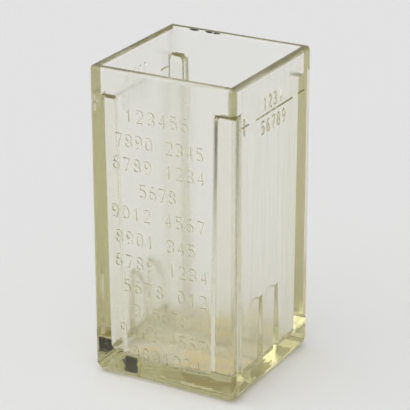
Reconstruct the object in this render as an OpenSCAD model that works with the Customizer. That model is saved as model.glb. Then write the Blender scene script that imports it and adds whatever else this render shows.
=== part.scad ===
// Pressed-glass accumulator jar: the open, square container of a small wet cell.
// The jar was moulded in one piece. Its members are kept as separate solids that
// meet face to face: the shell, four corner posts, two plate rests and the level lines.
// Frame: origin under the middle of the foot, +Z up, lettered face towards -Y.

/* [Jar shell] */
// Outside width and depth of the square jar, mm
jar_side = 76; // [66:1:100]
// Height from the foot to the top of the rim, mm
jar_h = 155; // [130:1:200]
// Thickness of the side walls at the rim, mm
wall_t = 4.4; // [4.2:0.1:6]
// Draft of the inner faces, by which the walls thicken downwards, degrees
wall_draft = 0.4; // [0.2:0.1:0.8]
// Thickness of the base under the floor, mm
base_t = 10; // [8:0.5:14]
// Radius of the outer upright edges, mm
edge_r = 2.5; // [2:0.25:3.5]
// Radius of the edge round the foot, mm
foot_r = 5; // [2.5:0.5:6]
// Radius of the inner upright corners and of the fillet round the floor, mm
inner_r = 3.5; // [2.5:0.25:4]
// Radius on the outer edge of the rim, mm
rim_outer_r = 2; // [1:0.25:2]
// Radius on the inner edge of the rim, mm
rim_inner_r = 2; // [1:0.25:2]

/* [Corner posts] */
// Width of a post's top along X, beyond the wall, mm
post_w = 7.4; // [6:0.1:9]
// Depth of a post's top along Y, beyond the wall, mm
post_d = 5.6; // [4.5:0.1:7]
// Draft of a post's side that faces along X, degrees
post_draft_w = 1; // [0.5:0.1:1.4]
// Draft of a post's side that faces along Y, degrees
post_draft_d = 0.6; // [0.5:0.1:1]
// Distance from the rim down to the tops of the front posts, mm
front_post_drop = 14.3; // [9:0.1:20]
// Distance from the rim down to the tops of the back posts, mm
back_post_drop = 13; // [9:0.1:20]
// Radius on a post's free upright edge, mm
post_edge_r = 2.4; // [1.2:0.1:2.8]
// Radius on the edges round a post's top, mm
post_top_r = 3; // [1.5:0.1:3.5]

/* [Plate rests] */
// Distance between the two rests, centre to centre, mm
rest_pitch = 16; // [12:1:20]
// Height of a rest's low ridge above the floor, mm
ridge_h = 7; // [4:0.5:10]
// Height of an end fin's tip above the floor, mm
fin_h = 34; // [26:1:44]
// How far an end fin stands out from the wall, mm
fin_reach = 7.8; // [6:0.1:10]
// Height above the floor at which the fin's top starts to curve over to the wall, mm
fin_shoulder_h = 20; // [16:0.5:24]
// Thickness of a rest where it meets the floor, mm
rest_foot_t = 5.6; // [4.5:0.1:7]
// Thickness of an end fin at its tip, mm
fin_tip_t = 2.4; // [1.6:0.1:3.2]

/* [Level lines] */
// Length of the raised line that marks the acid level, mm
line_len = 36; // [24:1:44]
// Distance from the rim down to the middle of the line, mm
line_drop = 20; // [16:0.5:26]
// Width of the line, mm
line_w = 1.4; // [1:0.1:2.4]
// How far the line stands out from the wall, mm
line_relief = 0.6; // [0.3:0.1:1]

/* [Hidden] */

half = jar_side / 2;
inner_half = half - wall_t;
// the inner faces are upright down to here, and lean inwards below
lean_z = jar_h - 2 * rim_inner_r;
floor_half = inner_half - (lean_z - base_t) * tan(wall_draft);
fin_tip_z = base_t + fin_h;
line_z = jar_h - line_drop;

// straight steps that a fin's curved top is drawn in
fin_steps = 8;
// slope that leads from the ridge up into the fin
ridge_blend = 3;

// a round cut or a round piece reaches this far past what it meets
over = 5;

glass = [0.80, 0.82, 0.62, 0.55];
glass_deep = [0.66, 0.67, 0.42, 0.75];

$fn = 48;

// Shapes used by more than one part

// Square of the given half width with round corners, in plan
module round_square(half_w, r) {
  square([2 * half_w, 2 * (half_w - r)], center = true);
  square([2 * (half_w - r), 2 * half_w], center = true);
  for (x = [-1, 1], y = [-1, 1]) {
    translate([x * (half_w - r), y * (half_w - r)])
      circle(r);
  }
}

// Upright section through the middle of the jar: rim edges rounded by r_top, foot by r_low
module side_section(half_w, h, r_low, r_top) {
  translate([-half_w, r_low])
    square([2 * half_w, h - r_low - r_top]);
  translate([-half_w + r_low, 0])
    square([2 * (half_w - r_low), h]);
  translate([-half_w + r_top, h / 2])
    square([2 * (half_w - r_top), h / 2]);
  for (x = [-1, 1]) {
    translate([x * (half_w - r_low), r_low])
      circle(r_low);
    translate([x * (half_w - r_top), h - r_top])
      circle(r_top);
  }
}

// Upright section of the cavity: the sides lean out by the draft, from a filleted floor
module drafted_section(h) {
  centre = floor_half + inner_r * tan(wall_draft) - inner_r / cos(wall_draft);
  side_x = centre + inner_r * cos(wall_draft);
  side_z = inner_r - inner_r * sin(wall_draft);
  lean_h = lean_z - base_t;
  polygon([
    [-centre, 0],
    [centre, 0],
    [side_x, side_z],
    [inner_half, lean_h],
    [inner_half, h],
    [-inner_half, h],
    [-inner_half, lean_h],
    [-side_x, side_z]
  ]);
  for (x = [-1, 1]) {
    translate([x * centre, inner_r])
      circle(inner_r);
  }
}

// Stands a flat section up and runs it along Y, centred
module run_along_y(length) {
  rotate([90, 0, 0])
    linear_extrude(height = length, center = true)
      children();
}

// Square block whose plan is rounded and whose section is the same seen from both sides
module square_block(half_w, h, r_upright) {
  intersection() {
    linear_extrude(height = h)
      round_square(half_w, r_upright);
    run_along_y(4 * half_w)
      children();
    rotate([0, 0, 90])
      run_along_y(4 * half_w)
        children();
  }
}

// The outside of the jar as one solid block
module jar_block() {
  square_block(half, jar_h, edge_r)
    side_section(half, jar_h, foot_r, rim_outer_r);
}

// The space inside the jar, open past the rim, with the fillet that runs round its floor
module cavity() {
  translate([0, 0, base_t])
    square_block(inner_half, jar_h, inner_r)
      drafted_section(jar_h);
}

// What the fire polish takes off the inner edge of the rim
module rim_ease() {
  run = inner_half - inner_r;
  for (a = [0 : 90 : 270]) {
    rotate([0, 0, a]) {
      translate([inner_half, 0, 0])
        run_along_y(2 * run)
          rim_ease_section(0);
      translate([run, run, 0])
        rotate_extrude()
          rim_ease_section(inner_r);
    }
  }
}

// Section of that cut; the first value is where the inner wall's face lies
module rim_ease_section(face) {
  difference() {
    translate([face - rim_inner_r / 2, jar_h - rim_inner_r])
      square([1.5 * rim_inner_r, 2 * rim_inner_r]);
    translate([face + rim_inner_r, jar_h - rim_inner_r])
      circle(rim_inner_r);
  }
}

// A post's block in the corner at +X +Y, rounded on its free edge and round its top
module post_block(top_z) {
  x0 = inner_half - post_w;
  y0 = inner_half - post_d;
  // the block leans about its top, so that both free sides have their draft
  translate([x0, y0, top_z])
    rotate([-post_draft_d, post_draft_w, 0])
      translate([-x0, -y0, -top_z])
        intersection() {
          linear_extrude(height = top_z)
            eased_corner(x0, y0, half + over, post_edge_r);
          translate([0, half + over, 0])
            rotate([90, 0, 0])
              linear_extrude(height = jar_side)
                eased_top(x0, top_z);
          rotate([90, 0, 90])
            linear_extrude(height = jar_side)
              eased_top(y0, top_z);
        }
}

// Square from the corner at x0, y0 out to the limit, with the corner at x0, y0 rounded
module eased_corner(x0, y0, limit, r) {
  translate([x0 + r, y0])
    square([limit - x0 - r, limit - y0]);
  translate([x0, y0 + r])
    square([limit - x0, limit - y0 - r]);
  translate([x0 + r, y0 + r])
    circle(r);
}

// Side view of a post, from its free face at the given distance out past the wall
module eased_top(face, top_z) {
  translate([face, 0])
    square([half + over - face, top_z - post_top_r]);
  translate([face + post_top_r, 0])
    square([half + over - face - post_top_r, top_z]);
  translate([face + post_top_r, top_z - post_top_r])
    circle(post_top_r);
}

// Post in the corner that the two signs name, grown out of the walls and the floor
module corner_post(x_side, y_side) {
  top_z = jar_h - (y_side < 0 ? front_post_drop : back_post_drop);
  color(glass_deep)
    intersection() {
      cavity();
      mirror([x_side < 0 ? 1 : 0, 0, 0])
        mirror([0, y_side < 0 ? 1 : 0, 0])
          post_block(top_z);
    }
}

// Side view of a rest: a low ridge between two fins that curve over to the walls
module rest_outline() {
  ridge_z = base_t + ridge_h;
  shoulder_z = base_t + fin_shoulder_h;
  fin_wall = floor_half + fin_h * tan(wall_draft);
  fin_x = fin_wall - fin_reach;
  // quarter of an oval, level at the wall and upright at the shoulder
  fin_top = [
    for (i = [1 : fin_steps])
      let (turn = 90 * i / fin_steps)
        [fin_wall - fin_reach * sin(turn), shoulder_z + (fin_tip_z - shoulder_z) * cos(turn)]
  ];
  right_side = concat(
    [[half, 0], [half, fin_tip_z], [fin_wall, fin_tip_z]],
    fin_top,
    [[fin_x, ridge_z + ridge_blend], [fin_x - ridge_blend, ridge_z]]
  );
  count = len(right_side);
  left_side = [for (i = [count - 1 : -1 : 0]) [-right_side[i][0], right_side[i][1]]];
  polygon(concat(right_side, left_side));
}

// End view of a rest: it thins with height, as glass must to leave the mould
module rest_taper() {
  polygon([
    [-rest_foot_t / 2, 0],
    [rest_foot_t / 2, 0],
    [rest_foot_t / 2, base_t],
    [fin_tip_t / 2, fin_tip_z],
    [-fin_tip_t / 2, fin_tip_z],
    [-rest_foot_t / 2, base_t]
  ]);
}

// Rest at the given distance from the middle, between the two side walls
module plate_rest(y_mid) {
  color(glass_deep)
    intersection() {
      cavity();
      translate([0, y_mid, 0]) {
        intersection() {
          run_along_y(2 * rest_foot_t)
            rest_outline();
          rotate([90, 0, 90])
            linear_extrude(height = 2 * half, center = true)
              rest_taper();
        }
      }
    }
}

// Raised line on the side wall that the sign names, half round in section
module level_line(x_side) {
  ridge_r = (line_w * line_w / 4 + line_relief * line_relief) / (2 * line_relief);
  run = line_len / 2 - line_w / 2;
  color(glass_deep)
    intersection() {
      translate([x_side * (half + over / 2), 0, line_z])
        cube([over, 2 * half, 2 * line_w], center = true);
      translate([x_side * (half + line_relief - ridge_r), 0, line_z]) {
        rotate([90, 0, 0])
          cylinder(h = 2 * run, r = ridge_r, center = true);
        for (y = [-run, run]) {
          translate([0, y, 0])
            sphere(ridge_r);
        }
      }
    }
}

// The nodes

module jar_shell() {
  color(glass)
    difference() {
      jar_block();
      cavity();
      rim_ease();
    }
}

module corner_post_front_left() {
  corner_post(-1, -1);
}

module corner_post_front_right() {
  corner_post(1, -1);
}

module corner_post_back_left() {
  corner_post(-1, 1);
}

module corner_post_back_right() {
  corner_post(1, 1);
}

module plate_rest_front() {
  plate_rest(-rest_pitch / 2);
}

module plate_rest_back() {
  plate_rest(rest_pitch / 2);
}

module level_line_left() {
  level_line(-1);
}

module level_line_right() {
  level_line(1);
}

jar_shell();
corner_post_front_left();
corner_post_front_right();
corner_post_back_left();
corner_post_back_right();
plate_rest_front();
plate_rest_back();
level_line_left();
level_line_right();
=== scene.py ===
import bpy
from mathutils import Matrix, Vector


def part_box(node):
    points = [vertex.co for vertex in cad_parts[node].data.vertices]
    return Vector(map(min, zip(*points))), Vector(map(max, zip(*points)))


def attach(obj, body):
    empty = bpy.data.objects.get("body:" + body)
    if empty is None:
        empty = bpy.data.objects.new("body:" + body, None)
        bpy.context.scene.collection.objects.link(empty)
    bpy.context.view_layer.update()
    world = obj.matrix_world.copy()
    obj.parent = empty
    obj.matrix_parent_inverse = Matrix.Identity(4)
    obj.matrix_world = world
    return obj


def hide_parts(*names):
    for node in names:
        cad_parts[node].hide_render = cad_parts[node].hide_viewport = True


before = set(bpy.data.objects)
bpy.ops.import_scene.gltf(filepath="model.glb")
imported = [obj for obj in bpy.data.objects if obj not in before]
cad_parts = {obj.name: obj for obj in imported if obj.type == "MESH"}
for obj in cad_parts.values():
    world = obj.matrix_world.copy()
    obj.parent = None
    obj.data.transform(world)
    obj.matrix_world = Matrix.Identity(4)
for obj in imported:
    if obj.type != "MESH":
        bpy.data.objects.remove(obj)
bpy.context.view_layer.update()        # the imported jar, which stays as it is

import math

import bmesh
import bpy
from mathutils import Matrix, Vector

scene = bpy.context.scene
mm = 0.001


# helpers

def linearColour(hexText):
    # sRGB hex to the linear values that a socket takes
    values = [int(hexText[i:i + 2], 16) / 255 for i in (1, 3, 5)]
    return [v / 12.92 if v <= 0.04045 else ((v + 0.055) / 1.055) ** 2.4 for v in values] + [1]


def addNode(tree, kind, settings=None, inputs=None, links=None):
    # one node with its settings, fixed inputs and incoming links
    node = tree.nodes.new(kind)
    for name, value in (settings or {}).items():
        setattr(node, name, value)
    for name, value in (inputs or {}).items():
        node.inputs[name].default_value = value
    for name, output in (links or {}).items():
        tree.links.new(output, node.inputs[name])
    return node


def newTree(block):
    block.use_nodes = True
    block.node_tree.nodes.clear()
    return block.node_tree


def towards(turn, height):
    # unit direction: turn in degrees from the front towards +X, height above the table
    turn, height = math.radians(turn), math.radians(height)
    return Vector((math.sin(turn) * math.cos(height), -math.cos(turn) * math.cos(height), math.sin(height)))


def addPiece(name, bm):
    # the bmesh becomes an object at the origin
    bmesh.ops.recalc_face_normals(bm, faces=bm.faces)
    mesh = bpy.data.meshes.new(name)
    bm.to_mesh(mesh)
    bm.free()
    piece = bpy.data.objects.new(name, mesh)
    scene.collection.objects.link(piece)
    return piece


def bakeModifiers(piece):
    # the modifiers' result becomes the piece's own mesh
    graph = bpy.context.evaluated_depsgraph_get()
    graph.update()
    mesh = bpy.data.meshes.new_from_object(piece.evaluated_get(graph))
    piece.modifiers.clear()
    old = piece.data
    mesh.name = old.name
    piece.data = mesh
    bpy.data.meshes.remove(old)


def combine(piece, other, operation, selfCrossing=False):
    # cuts the other piece off or joins it on, then throws it away
    boolean = piece.modifiers.new("combine", "BOOLEAN")
    boolean.operation = operation
    boolean.object = other
    boolean.solver = "EXACT"
    boolean.use_self = selfCrossing
    bakeModifiers(piece)
    mesh = other.data
    bpy.data.objects.remove(other)
    bpy.data.meshes.remove(mesh)


def addBlock(bm, low, high):
    # box between two corners, in metres
    low, high = Vector(low), Vector(high)
    made = bmesh.ops.create_cube(bm, size=1.0)["verts"]
    bmesh.ops.scale(bm, vec=high - low, verts=made)
    bmesh.ops.translate(bm, vec=(low + high) / 2, verts=made)
    return made


print("stage: sizes from the frame")

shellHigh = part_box("jar_shell")[1]
postLow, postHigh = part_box("corner_post_back_right")
restLow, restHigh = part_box("plate_rest_back")
lineLow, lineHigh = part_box("level_line_right")

jar = {
    "half": shellHigh[0],
    "rimZ": shellHigh[2],
    "wall": 4.4 * mm,             # at the rim
    "wallDraft": 0.4,             # degrees
    "uprightRun": 4 * mm,         # the inner faces are upright this far below the rim
    "floorZ": postLow[2],
    "postX": postLow[0],          # free faces of a post, at the floor
    "postY": postLow[1],
    "postDraftX": 1.0,            # degrees
    "postDraftY": 0.6,
    "frontPostTopZ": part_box("corner_post_front_right")[1][2],
    "backPostTopZ": postHigh[2],
    "restY": (restLow[1] + restHigh[1]) / 2,
    "restFoot": restHigh[1] - restLow[1],
    "finTipZ": restHigh[2],
    "finReach": 7.8 * mm,
    "finTipThick": 2.4 * mm,
    "finShoulder": 20 * mm,       # above the floor
    "ridgeHeight": 7 * mm,        # above the floor
    "ridgeBlend": 3 * mm,
    "lineZ": (lineLow[2] + lineHigh[2]) / 2,
    "lineHalf": lineHigh[1],
    "reliefInset": 0.6 * mm,      # the raised rows end flush with the model's box
}

rounding = {                      # radii of the finished glass
    "outerUpright": 2.5 * mm,
    "foot": 5.0 * mm,
    "rimOuter": 2.0 * mm,
    "rimInner": 1.5 * mm,         # the same as the inner corners, which run up into it
    "innerCorner": 1.5 * mm,
    "floor": 3.5 * mm,
    "frontPostEdge": 2.4 * mm,
    "backPostEdge": 1.8 * mm,
    "postSideRoot": 0.8 * mm,     # where a post grows out of a side wall
    "postEndRoot": 1.5 * mm,      # where it grows out of the front or the back
    "postTop": 3.0 * mm,
    "postTopRoot": 0.8 * mm,      # where its top meets the walls
    "postFoot": 2.4 * mm,
    "rest": 0.9 * mm,
}
roundingSegments = 6
near = 0.05 * mm                  # closer than this counts as touching
overlap = 2 * mm                  # posts and rests run this far into the walls, to be joined
sunk = 1 * mm                     # and this far into the floor
finSteps = 8                      # of the quarter oval at a fin's top
gentleBend = 0.35                 # radians; a smaller bend is not rounded
sameFace = math.radians(0.5)      # faces that bend less are one face


print("stage: jar body")


def innerHalf(z):
    # half the width of the inside at a height; the walls thicken downwards
    lean = max(0, jar["rimZ"] - jar["uprightRun"] - z)
    return jar["half"] - jar["wall"] - lean * math.tan(math.radians(jar["wallDraft"]))


def restOutline():
    # ridge between two fins, seen from the front; the points run up the right end first
    x, floorZ, tipZ = innerHalf(jar["finTipZ"]), jar["floorZ"], jar["finTipZ"]
    ridgeZ, shoulderZ = floorZ + jar["ridgeHeight"], floorZ + jar["finShoulder"]
    finX = x - jar["finReach"]
    right = [(x + overlap, floorZ - sunk), (x + overlap, tipZ)]
    for step in range(2, finSteps + 1):      # its first steps lie along the wall
        turn = math.pi / 2 * step / finSteps
        right.append((x - jar["finReach"] * math.sin(turn), shoulderZ + (tipZ - shoulderZ) * math.cos(turn)))
    right += [(finX, ridgeZ + jar["ridgeBlend"]), (finX - jar["ridgeBlend"], ridgeZ)]
    return right + [(-px, pz) for px, pz in reversed(right)]


def addRest(bm, middle):
    # a rest thins with height, so that the plunger lets go of it
    loop = [bm.verts.new((px, 0, pz)) for px, pz in restOutline()]
    face = bm.faces.new(loop)
    grown = bmesh.ops.extrude_face_region(bm, geom=[face])["geom"]
    far = [v for v in grown if isinstance(v, bmesh.types.BMVert)]
    taper = (jar["finTipThick"] - jar["restFoot"]) / (jar["finTipZ"] - jar["floorZ"])
    for vert in loop + far:
        thick = jar["restFoot"] + taper * (vert.co.z - jar["floorZ"])
        vert.co.y = middle + (thick / 2 if vert in far else -thick / 2)


def addPost(bm, sideX, sideY):
    # square post in a corner; its free faces lean, so it thickens downwards
    top = jar["backPostTopZ"] if sideY > 0 else jar["frontPostTopZ"]
    outside = innerHalf(top) + overlap
    low = (jar["postX"], jar["postY"], jar["floorZ"] - sunk)
    corners = addBlock(bm, low, (outside, outside, top))
    for vert in corners:
        lean = vert.co.z - jar["floorZ"]
        if vert.co.x < outside - near:
            vert.co.x += lean * math.tan(math.radians(jar["postDraftX"]))
        if vert.co.y < outside - near:
            vert.co.y += lean * math.tan(math.radians(jar["postDraftY"]))
    bmesh.ops.scale(bm, vec=(sideX, sideY, 1), verts=corners)


def addCavity(bm):
    # drafted block with an upright run on top that passes well out of the mouth
    top, above = jar["rimZ"] - jar["uprightRun"], 10 * mm
    corners = addBlock(bm, (-1, -1, jar["floorZ"]), (1, 1, top))
    for vert in corners:
        vert.co.x *= innerHalf(vert.co.z)
        vert.co.y *= innerHalf(vert.co.z)
    lid = [face for face in bm.faces if face.calc_center_median().z > top - near]
    grown = bmesh.ops.extrude_face_region(bm, geom=lid)["geom"]
    bmesh.ops.delete(bm, geom=lid, context="FACES_ONLY")
    bmesh.ops.translate(bm, vec=(0, 0, jar["uprightRun"] + above),
                        verts=[item for item in grown if isinstance(item, bmesh.types.BMVert)])


def makeBody():
    # square-cut jar, still without its roundings
    half = jar["half"]
    bm = bmesh.new()
    addBlock(bm, (-half, -half + jar["reliefInset"], 0), (half, half, jar["rimZ"]))
    body = addPiece("glass_jar", bm)

    bm = bmesh.new()
    addCavity(bm)
    combine(body, addPiece("cavity", bm), "DIFFERENCE")

    for sideX in (-1, 1):
        for sideY in (-1, 1):
            bm = bmesh.new()
            addPost(bm, sideX, sideY)
            combine(body, addPiece("post", bm), "UNION")

    for sideY in (-1, 1):
        bm = bmesh.new()
        addRest(bm, sideY * jar["restY"])
        combine(body, addPiece("rest", bm), "UNION")
    return body


def postRadius(edge, middle, upright):
    # rounding of an edge on a post, or in the corner above it
    if middle.z < jar["floorZ"] + near:
        return rounding["postFoot"]
    topZ = jar["backPostTopZ"] if middle.y > 0 else jar["frontPostTopZ"]
    if upright and middle.z > topZ:
        return rounding["innerCorner"]
    if edge.is_convex and not upright:
        return rounding["postTop"]
    if edge.is_convex:
        return rounding["backPostEdge"] if middle.y > 0 else rounding["frontPostEdge"]
    if not upright:
        return rounding["postTopRoot"]
    onSideWall = abs(middle.x) > innerHalf(middle.z) - near
    return rounding["postSideRoot"] if onSideWall else rounding["postEndRoot"]


def edgeRadius(edge):
    # which rounding an edge of the square-cut body gets
    a, b = (v.co for v in edge.verts)
    middle = (a + b) / 2
    upright = abs(a.x - b.x) + abs(a.y - b.y) < 0.1 * abs(a.z - b.z)
    if edge.calc_face_angle(0) < gentleBend:
        return 0
    if middle.z < near:
        return rounding["foot"]
    outer = max(abs(middle.x), abs(middle.y)) > jar["half"] - jar["reliefInset"] - near
    if upright and outer:
        return rounding["outerUpright"]
    if middle.z > jar["rimZ"] - near:
        return rounding["rimOuter"] if outer else rounding["rimInner"]
    if abs(abs(middle.y) - jar["restY"]) < jar["restFoot"] / 2 + near:
        return rounding["rest"]
    if abs(middle.x) > jar["postX"] - near and abs(middle.y) > jar["postY"] - near:
        return postRadius(edge, middle, upright)
    return rounding["floor"]


def roundEdges(body):
    # one bevel rounds every edge, each by its own weight
    bm = bmesh.new()
    bm.from_mesh(body.data)
    bmesh.ops.dissolve_limit(bm, angle_limit=sameFace, verts=bm.verts, edges=bm.edges)
    bm.edges.ensure_lookup_table()
    weight = bm.edges.layers.float.new("bevel_weight_edge")
    largest = max(rounding.values())
    for edge in bm.edges:
        edge[weight] = edgeRadius(edge) / largest
    bm.to_mesh(body.data)
    bm.free()
    bevel = body.modifiers.new("soften", "BEVEL")
    bevel.limit_method = "WEIGHT"
    bevel.width = largest
    bevel.segments = roundingSegments
    bevel.profile = 0.5
    bevel.use_clamp_overlap = False
    bakeModifiers(body)
    bm = bmesh.new()
    bm.from_mesh(body.data)
    bmesh.ops.connect_verts_concave(bm, faces=bm.faces)
    bm.to_mesh(body.data)
    bm.free()


body = makeBody()
roundEdges(body)
print("body faces", len(body.data.polygons))


print("stage: relief")

relief = {                        # sizes in mm
    "rowZ": [134, 121.5, 110, 98, 86, 73.5, 61.5, 49, 37, 26, 15],        # above the foot
    "rowWidth": [34, 47, 49, 20, 50, 43, 50, 45, 30, 47, 38],
    "rowMiddle": [-2.5, -1.5, -2, -2.5, -2.5, -4, -1, 1, -1.5, -0.5, 1.5],
    "longRow": 7,                 # a row of more figures has a gap in it
    "figurePitch": 5.6,
    "figureHeight": 7.2,
    "figureWidth": 4.5,
    "sideFigureWidth": 3.6,
    "stroke": 0.65,               # half the width of a raised stroke
    "proud": 0.59,                # above the wall
    "signZ": 135.2,
    "signSize": 8,
    "sidePlus": 29,               # signs, from the middle of the side
    "sideMinus": 27,
    "upperFigures": 4,            # above the level line
    "upperWidth": 18.5,
    "upperMiddle": -1.5,
    "upperZ": 140.2,
    "lowerFigures": 5,            # below it
    "lowerWidth": 24,
    "lowerMiddle": -0.8,
    "lowerZ": 129.2,
    "weld": 0.004,                # stroke points this close become one
}


def facePlace(normal, origin):
    # matrix that lays flat marks on a side wall, upright and read from outside
    across = Vector((0, 0, 1)).cross(normal)
    matrix = Matrix((across, Vector((0, 0, 1)), normal)).transposed().to_4x4()
    matrix.translation = origin
    return matrix


def addCurve(bm, curve, place):
    # a flat curve becomes a mesh and is then put in place
    holder = bpy.data.objects.new("marks", curve)
    scene.collection.objects.link(holder)
    graph = bpy.context.evaluated_depsgraph_get()
    graph.update()
    mesh = bpy.data.meshes.new_from_object(holder.evaluated_get(graph))
    bpy.data.objects.remove(holder)
    mesh.transform(place)
    bm.from_mesh(mesh)
    bpy.data.meshes.remove(mesh)


def addStroke(curve, points):
    # raised stroke through points in mm
    spline = curve.splines.new("POLY")
    spline.points.add(len(points) - 1)
    for point, (x, y) in zip(spline.points, points):
        point.co = (x * mm, y * mm, 0, 1)


def strokeCurve(name, resolution):
    # 0 gives strokes with a sharp back, more gives round ones
    curve = bpy.data.curves.new(name, "CURVE")
    curve.dimensions = "3D"
    curve.bevel_depth = relief["stroke"] * mm
    curve.bevel_resolution = resolution
    curve.use_fill_caps = True
    return curve


def arcPoints(cx, cy, rx, ry, start, end, steps=10):
    # part of an oval, angles in degrees
    turns = [math.radians(start + (end - start) * i / steps) for i in range(steps + 1)]
    return [(cx + rx * math.cos(t), cy + ry * math.sin(t)) for t in turns]


def figureStrokes(figure):
    # stroke lines of one plain figure on a field from -1 to 1 both ways
    return {
        "0": [arcPoints(0, 0, 1, 1, 0, 348, 18) + [(1, 0)]],
        "1": [[(-0.5, 0.6), (0.1, 1), (0.1, -1)]],
        "2": [arcPoints(0, 0.48, 0.95, 0.52, 165, -35) + [(-1, -1), (1, -1)]],
        "3": [arcPoints(-0.1, 0.5, 0.95, 0.5, 150, -90) + arcPoints(-0.1, -0.5, 1.05, 0.5, 90, -150)],
        "4": [[(0.45, -1), (0.45, 1), (-1, -0.4), (1, -0.4)]],
        "5": [[(0.85, 1), (-0.75, 1), (-0.85, 0.12)] + arcPoints(-0.05, -0.38, 0.98, 0.62, 130, -145)],
        "6": [arcPoints(0.15, -0.25, 1.1, 1.25, 75, 175, 7) + arcPoints(0, -0.42, 0.95, 0.58, 180, 530, 14)],
        "7": [[(-0.95, 1), (0.95, 1), (-0.3, -1)]],
        "8": [arcPoints(0, 0.5, 0.8, 0.5, -90, 262, 14), arcPoints(0, -0.5, 0.98, 0.5, 90, 442, 14)],
        "9": [arcPoints(-0.15, 0.25, 1.1, 1.25, 255, 355, 7) + arcPoints(0, 0.42, 0.95, 0.58, 0, 350, 14)],
    }[figure]


def addFigures(curve, first, count, middle, z, width, figureWidth):
    # a row of plain figures that counts on from the first
    w, h = figureWidth / 2 - relief["stroke"], relief["figureHeight"] / 2 - relief["stroke"]
    gap = count // 2 if count > relief["longRow"] else count
    for i in range(count):
        x = middle - (width - figureWidth) * (0.5 - i / (count - 1))
        if i != gap:
            for line in figureStrokes(str((first + i) % 10)):
                addStroke(curve, [(x + px * w, z + py * h) for px, py in line])


def addRows(curve):
    first = 1
    for z, width, middle in zip(relief["rowZ"], relief["rowWidth"], relief["rowMiddle"]):
        count = round((width - relief["figureWidth"]) / relief["figurePitch"]) + 1
        addFigures(curve, first, count, middle, z, width, relief["figureWidth"])
        first += count


def addSideMarks(curve, side):
    # level line between two short rows, plus sign in front and minus sign behind
    z, reach = jar["lineZ"] / mm, jar["lineHalf"] / mm
    addStroke(curve, [(-reach, z), (reach, z)])
    half, signZ = relief["signSize"] / 2, relief["signZ"]
    plus, minus = -side * relief["sidePlus"], side * relief["sideMinus"]
    addStroke(curve, [(plus - half, signZ), (plus + half, signZ)])
    addStroke(curve, [(plus, signZ - half), (plus, signZ + half)])
    addStroke(curve, [(minus - half, signZ), (minus + half, signZ)])
    first = 1
    for row in ("upper", "lower"):
        count = relief[row + "Figures"]
        addFigures(curve, first, count, relief[row + "Middle"], relief[row + "Z"], relief[row + "Width"],
                   relief["sideFigureWidth"])
        first += count


def pressRelief(body):
    # the marks stand on the walls by their height and reach a little into them
    sink = (relief["proud"] - relief["stroke"]) * mm
    bm = bmesh.new()
    front = strokeCurve("front marks", 1)
    addRows(front)
    place = facePlace(Vector((0, -1, 0)), Vector((0, -jar["half"] + jar["reliefInset"] - sink, 0)))
    addCurve(bm, front, place)
    for side in (-1, 1):
        marks = strokeCurve("side marks", 0)
        addSideMarks(marks, side)
        place = facePlace(Vector((side, 0, 0)), Vector((side * (jar["half"] + sink), 0, 0)))
        addCurve(bm, marks, place)
    bmesh.ops.remove_doubles(bm, verts=bm.verts, dist=relief["weld"] * mm)
    combine(body, addPiece("marks", bm), "UNION", selfCrossing=True)


pressRelief(body)
print("jar faces", len(body.data.polygons))


print("stage: chips")

chips = {                         # in mm, on the inner edge of the back rim
    "along": [-24.3, -22.4, -15.0, -13.0, -11.0, -9.0],
    "length": [2.2, 2.4, 2.6, 2.8, 2.6, 2.2],
    "radius": [0.5, 0.55, 0.55, 0.65, 0.6, 0.5],
    "stand": 0.2,                 # how far their middles stand off the edge
    "skew": 0.25,                 # radians; each lies a little askew
    "skewRate": 9,
    "darkChips": [-23.0, -14.4, -11.2],        # the three chips that hold dark opaque spots
}


def chipPlace(x):
    # a place on the rounded inner edge, x in mm
    turn = (1 - math.sqrt(0.5)) * rounding["rimInner"] - chips["stand"] * mm
    return Vector((x * mm, jar["half"] - jar["wall"] + turn, jar["rimZ"] - turn))


def chipRim(body):
    # shell-shaped scoops, each the print of a small stretched ball
    for x, length, radius in zip(chips["along"], chips["length"], chips["radius"]):
        askew = chips["skew"] * math.sin(chips["skewRate"] * x)
        bm = bmesh.new()
        bmesh.ops.create_icosphere(bm, subdivisions=3, radius=radius * mm)
        bmesh.ops.scale(bm, vec=(length / radius / 2, 1, 1), verts=bm.verts)
        bmesh.ops.rotate(bm, matrix=Matrix.Rotation(askew, 3, "Z"), verts=bm.verts)
        bmesh.ops.translate(bm, vec=chipPlace(x), verts=bm.verts)
        combine(body, addPiece("chip", bm), "DIFFERENCE")


chipRim(body)


print("stage: finish")

glassFinish = {
    "ior": 1.52,
    "tint": "#ccc647",
    "density": 15.0,
    "roughness": 0.05,
    "insideRoughness": 0.2,       # the plunger left the inside less smooth
    "rippleWidth": 5 * mm,        # chill ripples left by the mould run up the walls
    "rippleLength": 60 * mm,
    "rippleDepth": 0.10 * mm,
    "baseTop": 16 * mm,           # up to here the outside is uneven all over
    "baseWidth": 7 * mm,
    "baseDepth": 0.22 * mm,
    "floorTan": "#dccb9c",        # pale tan patches on the floor inside, where the glass turns mostly diffuse
    "floorTanTop": 12 * mm,
    "floorTanPatch": 24 * mm,
    "floorTanCover": 0.75,
    "chipDark": "#26241f",           # dark opaque spots in three of the chips
    "chipDarkWidth": 0.72 * mm,
    "chipDarkStretch": 4,            # times as long as wide
}
creaseAngle = 32                  # degrees; a sharper bend shows as an edge


def smoothGlass(body):
    # curved faces run into each other without steps, and flat faces stay flat
    for polygon in body.data.polygons:
        polygon.use_smooth = True
    body.data.set_sharp_from_angle(angle=math.radians(creaseAngle))
    weighted = body.modifiers.new("flat faces stay flat", "WEIGHTED_NORMAL")
    weighted.keep_sharp = True
    weighted.weight = 100


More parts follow.
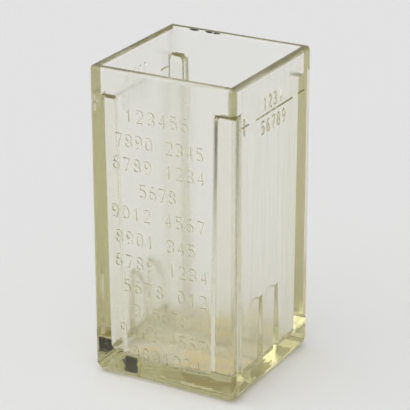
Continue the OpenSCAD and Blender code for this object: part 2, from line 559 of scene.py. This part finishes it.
def insideMask(tree, apart):
    # 1 on the faces of the cavity, 0 on the outside of the jar
    reach = [addNode(tree, "ShaderNodeMath", {"operation": "ABSOLUTE"}, links={0: apart.outputs[axis]})
             for axis in "XY"]
    wide = addNode(tree, "ShaderNodeMath", {"operation": "MAXIMUM"}, links={
        0: reach[0].outputs["Value"], 1: reach[1].outputs["Value"]})
    within = addNode(tree, "ShaderNodeMath", {"operation": "LESS_THAN"}, {1: jar["half"] - 0.6 * jar["wall"]},
                     {0: wide.outputs["Value"]})
    above = addNode(tree, "ShaderNodeMath", {"operation": "GREATER_THAN"}, {1: jar["floorZ"] - 0.5 * mm},
                    {0: apart.outputs["Z"]})
    both = addNode(tree, "ShaderNodeMath", {"operation": "MULTIPLY"}, links={
        0: within.outputs["Value"], 1: above.outputs["Value"]})
    return both.outputs["Value"]


def unevenNormal(tree, place, apart):
    # long ripples up the walls, and lumps in the outside of the base
    across, along = 1 / glassFinish["rippleWidth"], 1 / glassFinish["rippleLength"]
    baseTop = glassFinish["baseTop"]
    stretched = addNode(tree, "ShaderNodeMapping", inputs={"Scale": (across, across, along)},
                        links={"Vector": place})
    ripple = addNode(tree, "ShaderNodeTexNoise", inputs={"Scale": 1.0, "Detail": 2.0, "Roughness": 0.45},
                     links={"Vector": stretched.outputs["Vector"]})
    walls = addNode(tree, "ShaderNodeBump", inputs={"Strength": 1.0, "Distance": glassFinish["rippleDepth"]},
                    links={"Height": ripple.outputs["Fac"]})
    lumps = addNode(tree, "ShaderNodeTexNoise", inputs={
        "Scale": 1 / glassFinish["baseWidth"], "Detail": 2.0, "Roughness": 0.4}, links={"Vector": place})
    foot = addNode(tree, "ShaderNodeMapRange", {"interpolation_type": "SMOOTHSTEP"}, {
        "From Min": 0.5 * baseTop, "From Max": baseTop, "To Min": 1, "To Max": 0},
        {"Value": apart.outputs["Z"]})
    base = addNode(tree, "ShaderNodeBump", inputs={"Distance": glassFinish["baseDepth"]}, links={
        "Strength": foot.outputs["Result"], "Height": lumps.outputs["Fac"], "Normal": walls.outputs["Normal"]})
    return base.outputs["Normal"]


def floorTanPatches(tree, place, apart, inside):
    # 1 in the tan patches on the floor inside, 0 on clear glass
    low = addNode(tree, "ShaderNodeMapRange",
                  inputs={"From Min": glassFinish["floorTanTop"], "From Max": jar["floorZ"]},
                  links={"Value": apart.outputs["Z"]})
    lying = addNode(tree, "ShaderNodeMath", {"operation": "MULTIPLY"}, links={
        0: low.outputs["Result"], 1: inside})
    patches = addNode(tree, "ShaderNodeTexNoise", inputs={
        "Scale": 1 / glassFinish["floorTanPatch"], "Detail": 4.0, "Roughness": 0.6}, links={"Vector": place})
    spread = addNode(tree, "ShaderNodeMapRange", inputs={"From Min": 0.4, "From Max": 0.6},
                     links={"Value": patches.outputs["Fac"]})
    floorTanMask = addNode(tree, "ShaderNodeMath", {"operation": "MULTIPLY"}, links={
        0: lying.outputs["Value"], 1: spread.outputs["Result"]})
    return floorTanMask.outputs["Value"]


def darkChipSpots(tree, place):
    # 1 in the dark spots in three of the chips, 0 elsewhere
    stretch = Vector((1 / glassFinish["chipDarkStretch"], 1, 1))
    width = glassFinish["chipDarkWidth"]
    squeezed = addNode(tree, "ShaderNodeVectorMath", {"operation": "MULTIPLY"}, {1: stretch}, {0: place})
    chipDarkMask = addNode(tree, "ShaderNodeValue").outputs["Value"]
    chipDarkMask.default_value = 0
    for x in chips["darkChips"]:
        away = addNode(tree, "ShaderNodeVectorMath", {"operation": "DISTANCE"}, {1: chipPlace(x) * stretch},
                       {0: squeezed.outputs["Vector"]})
        spot = addNode(tree, "ShaderNodeMapRange", {"interpolation_type": "SMOOTHSTEP"}, {
            "From Min": 0.8 * width, "From Max": 1.2 * width, "To Min": 1, "To Max": 0},
            {"Value": away.outputs["Value"]})
        most = addNode(tree, "ShaderNodeMath", {"operation": "MAXIMUM"}, links={
            0: chipDarkMask, 1: spot.outputs["Result"]})
        chipDarkMask = most.outputs["Value"]
    return chipDarkMask


def glassSurface(tree):
    # what the tan floor patches and the dark chip spots do to the clear glass; everything is placed on the jar
    # in metres
    place = addNode(tree, "ShaderNodeTexCoord").outputs["Object"]
    apart = addNode(tree, "ShaderNodeSeparateXYZ", links={"Vector": place})
    inside = insideMask(tree, apart)
    floorTanMask = floorTanPatches(tree, place, apart, inside)
    chipDarkMask = darkChipSpots(tree, place)
    # pale tan in the patches on the floor inside
    floorTanMix = addNode(tree, "ShaderNodeMix", {"data_type": "RGBA"}, {
        "A": (1, 1, 1, 1), "B": linearColour(glassFinish["floorTan"])}, {"Factor": floorTanMask})
    # near black and opaque in the spots in three of the chips
    colour = addNode(tree, "ShaderNodeMix", {"data_type": "RGBA"}, {"B": linearColour(glassFinish["chipDark"])}, {
        "Factor": chipDarkMask, "A": floorTanMix.outputs["Result"]})
    # the tan floor patches let a quarter of the light through, and the dark chip spots none
    clear = addNode(tree, "ShaderNodeMapRange", inputs={
        "To Min": 1, "To Max": 1 - glassFinish["floorTanCover"]}, links={"Value": floorTanMask})
    passing = addNode(tree, "ShaderNodeMapRange", inputs={"To Max": 0}, links={
        "Value": chipDarkMask, "To Min": clear.outputs["Result"]})
    rough = addNode(tree, "ShaderNodeMapRange", inputs={
        "To Min": glassFinish["roughness"], "To Max": glassFinish["insideRoughness"]}, links={"Value": inside})
    return {"Base Color": colour.outputs["Result"], "Transmission Weight": passing.outputs["Result"],
            "Roughness": rough.outputs["Result"], "Normal": unevenNormal(tree, place, apart)}


def pressedGlass():
    # soda-lime glass, pressed and fire-polished: clear and smooth, and yellow-green where it is thick
    material = bpy.data.materials.new("pressed soda-lime glass")
    tree = newTree(material)
    surface = addNode(tree, "ShaderNodeBsdfPrincipled", inputs={"IOR": glassFinish["ior"]},
                      links=glassSurface(tree))
    absorb = addNode(tree, "ShaderNodeVolumeAbsorption", inputs={
        "Color": linearColour(glassFinish["tint"]), "Density": glassFinish["density"]})
    addNode(tree, "ShaderNodeOutputMaterial", links={
        "Surface": surface.outputs["BSDF"], "Volume": absorb.outputs["Volume"]})
    return material


smoothGlass(body)
body.data.materials.clear()
body.data.materials.append(pressedGlass())
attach(body, "root")
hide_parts("jar_shell", "corner_post_front_left", "corner_post_front_right", "corner_post_back_left",
            "corner_post_back_right", "plate_rest_front", "plate_rest_back", "level_line_left",
            "level_line_right")


print("stage: studio")

studio = {                        # turns, heights, spreads and softness in degrees
    "paperColour": "#e2e2e2",
    "darkFloorColour": "#565350",     # darker grey floor past the edge of the white, on the camera side and out of the picture
    "edgeTurn": 62,
    "edgeFrom": 0.22,             # metres from the middle of the jar
    "edgeTo": 0.28,
    "floorHalf": 6.0,
    "floorDrop": 0.1 * mm,
    "wallStrength": 0.62,         # pale walls round the table
    "lamp": {"turn": -18, "height": 48, "spread": 52, "soft": 20, "strength": 1.4},
    "lampCore": {"turn": -27, "height": 28, "spread": 7, "soft": 3, "strength": 2.2},
    "doorway": {"turn": 148, "height": 26, "spread": 6.8, "soft": 2, "strength": 0.02},
}


def mattPaper():
    # matt white paper that turns darker grey past a line on the camera side; the grey shows in the edges of
    # the glass
    paper = bpy.data.materials.new("matt white paper")
    tree = newTree(paper)
    place = addNode(tree, "ShaderNodeTexCoord").outputs["Object"]
    reach = addNode(tree, "ShaderNodeVectorMath", {"operation": "DOT_PRODUCT"},
                    {1: towards(studio["edgeTurn"], 0)}, {0: place})
    past = addNode(tree, "ShaderNodeMapRange", {"interpolation_type": "SMOOTHSTEP"}, {
        "From Min": studio["edgeFrom"], "From Max": studio["edgeTo"]}, {"Value": reach.outputs["Value"]})
    # white near the jar, darker grey past the line on the camera side
    shade = addNode(tree, "ShaderNodeMix", {"data_type": "RGBA"}, {
        "A": linearColour(studio["paperColour"]), "B": linearColour(studio["darkFloorColour"])},
        {"Factor": past.outputs["Result"]})
    matt = addNode(tree, "ShaderNodeBsdfPrincipled", inputs={"Roughness": 0.9},
                   links={"Base Color": shade.outputs["Result"]})
    addNode(tree, "ShaderNodeOutputMaterial", links={"Surface": matt.outputs["BSDF"]})
    return paper


def layFloor():
    bm = bmesh.new()
    bmesh.ops.create_grid(bm, x_segments=1, y_segments=1, size=studio["floorHalf"])
    bmesh.ops.translate(bm, vec=(0, 0, -studio["floorDrop"]), verts=bm.verts)
    floor = addPiece("floor", bm)
    floor.data.materials.append(mattPaper())


def roundPatch(tree, direction, patch):
    # 1 inside a round patch of the surroundings, 0 outside it
    away = addNode(tree, "ShaderNodeVectorMath", {"operation": "DISTANCE"},
                   {1: towards(patch["turn"], patch["height"])}, {0: direction})
    edge = addNode(tree, "ShaderNodeMapRange", {"interpolation_type": "SMOOTHSTEP"}, {
        "From Min": math.radians(patch["spread"] - patch["soft"]),
        "From Max": math.radians(patch["spread"] + patch["soft"]), "To Min": 1, "To Max": 0},
        {"Value": away.outputs["Value"]})
    return edge.outputs["Result"]


def studioRoom():
    # pale room with a large soft lamp, bright in its core, at the front left and a dark doorway behind
    room = bpy.data.worlds.new("studio")
    tree = newTree(room)
    direction = addNode(tree, "ShaderNodeTexCoord").outputs["Generated"]
    level = addNode(tree, "ShaderNodeValue").outputs["Value"]
    level.default_value = studio["wallStrength"]
    for name in ("lamp", "lampCore", "doorway"):
        patch = addNode(tree, "ShaderNodeMapRange", inputs={"To Max": studio[name]["strength"]}, links={
            "Value": roundPatch(tree, direction, studio[name]), "To Min": level})
        level = patch.outputs["Result"]
    air = addNode(tree, "ShaderNodeBackground", inputs={"Color": (1, 1, 1, 1)}, links={"Strength": level})
    addNode(tree, "ShaderNodeOutputWorld", links={"Surface": air.outputs["Background"]})
    return room


layFloor()
scene.world = studioRoom()


print("stage: camera")

cameraFit = {
    "azimuth": 29.24,             # degrees
    "elevation": 21.92,
    "distance": 1.0007,
    "lens": 185.43,
    "sensor": 36,
    "target": (0.00172, 0, 0.08076),
    "roll": -0.0029,              # radians
}


def placeCamera():
    back = towards(cameraFit["azimuth"], cameraFit["elevation"])
    upright = back.to_track_quat("Z", "Y").to_matrix()
    camera = bpy.data.objects.new("camera", bpy.data.cameras.new("camera"))
    camera.data.lens = cameraFit["lens"]
    camera.data.sensor_width = cameraFit["sensor"]
    camera.location = Vector(cameraFit["target"]) + back * cameraFit["distance"]
    camera.rotation_euler = (upright @ Matrix.Rotation(cameraFit["roll"], 3, "Z")).to_euler()
    scene.collection.objects.link(camera)
    scene.camera = camera


placeCamera()
scene.view_settings.view_transform = "Standard"
# light runs down the walls by total reflection, so its path through the glass is long
pathLength = 192
scene.cycles.max_bounces = pathLength
scene.cycles.transmission_bounces = pathLength
scene.cycles.glossy_bounces = pathLength
# the glass stays as smooth as it is for light that reaches the table through it
scene.cycles.blur_glossy = 0
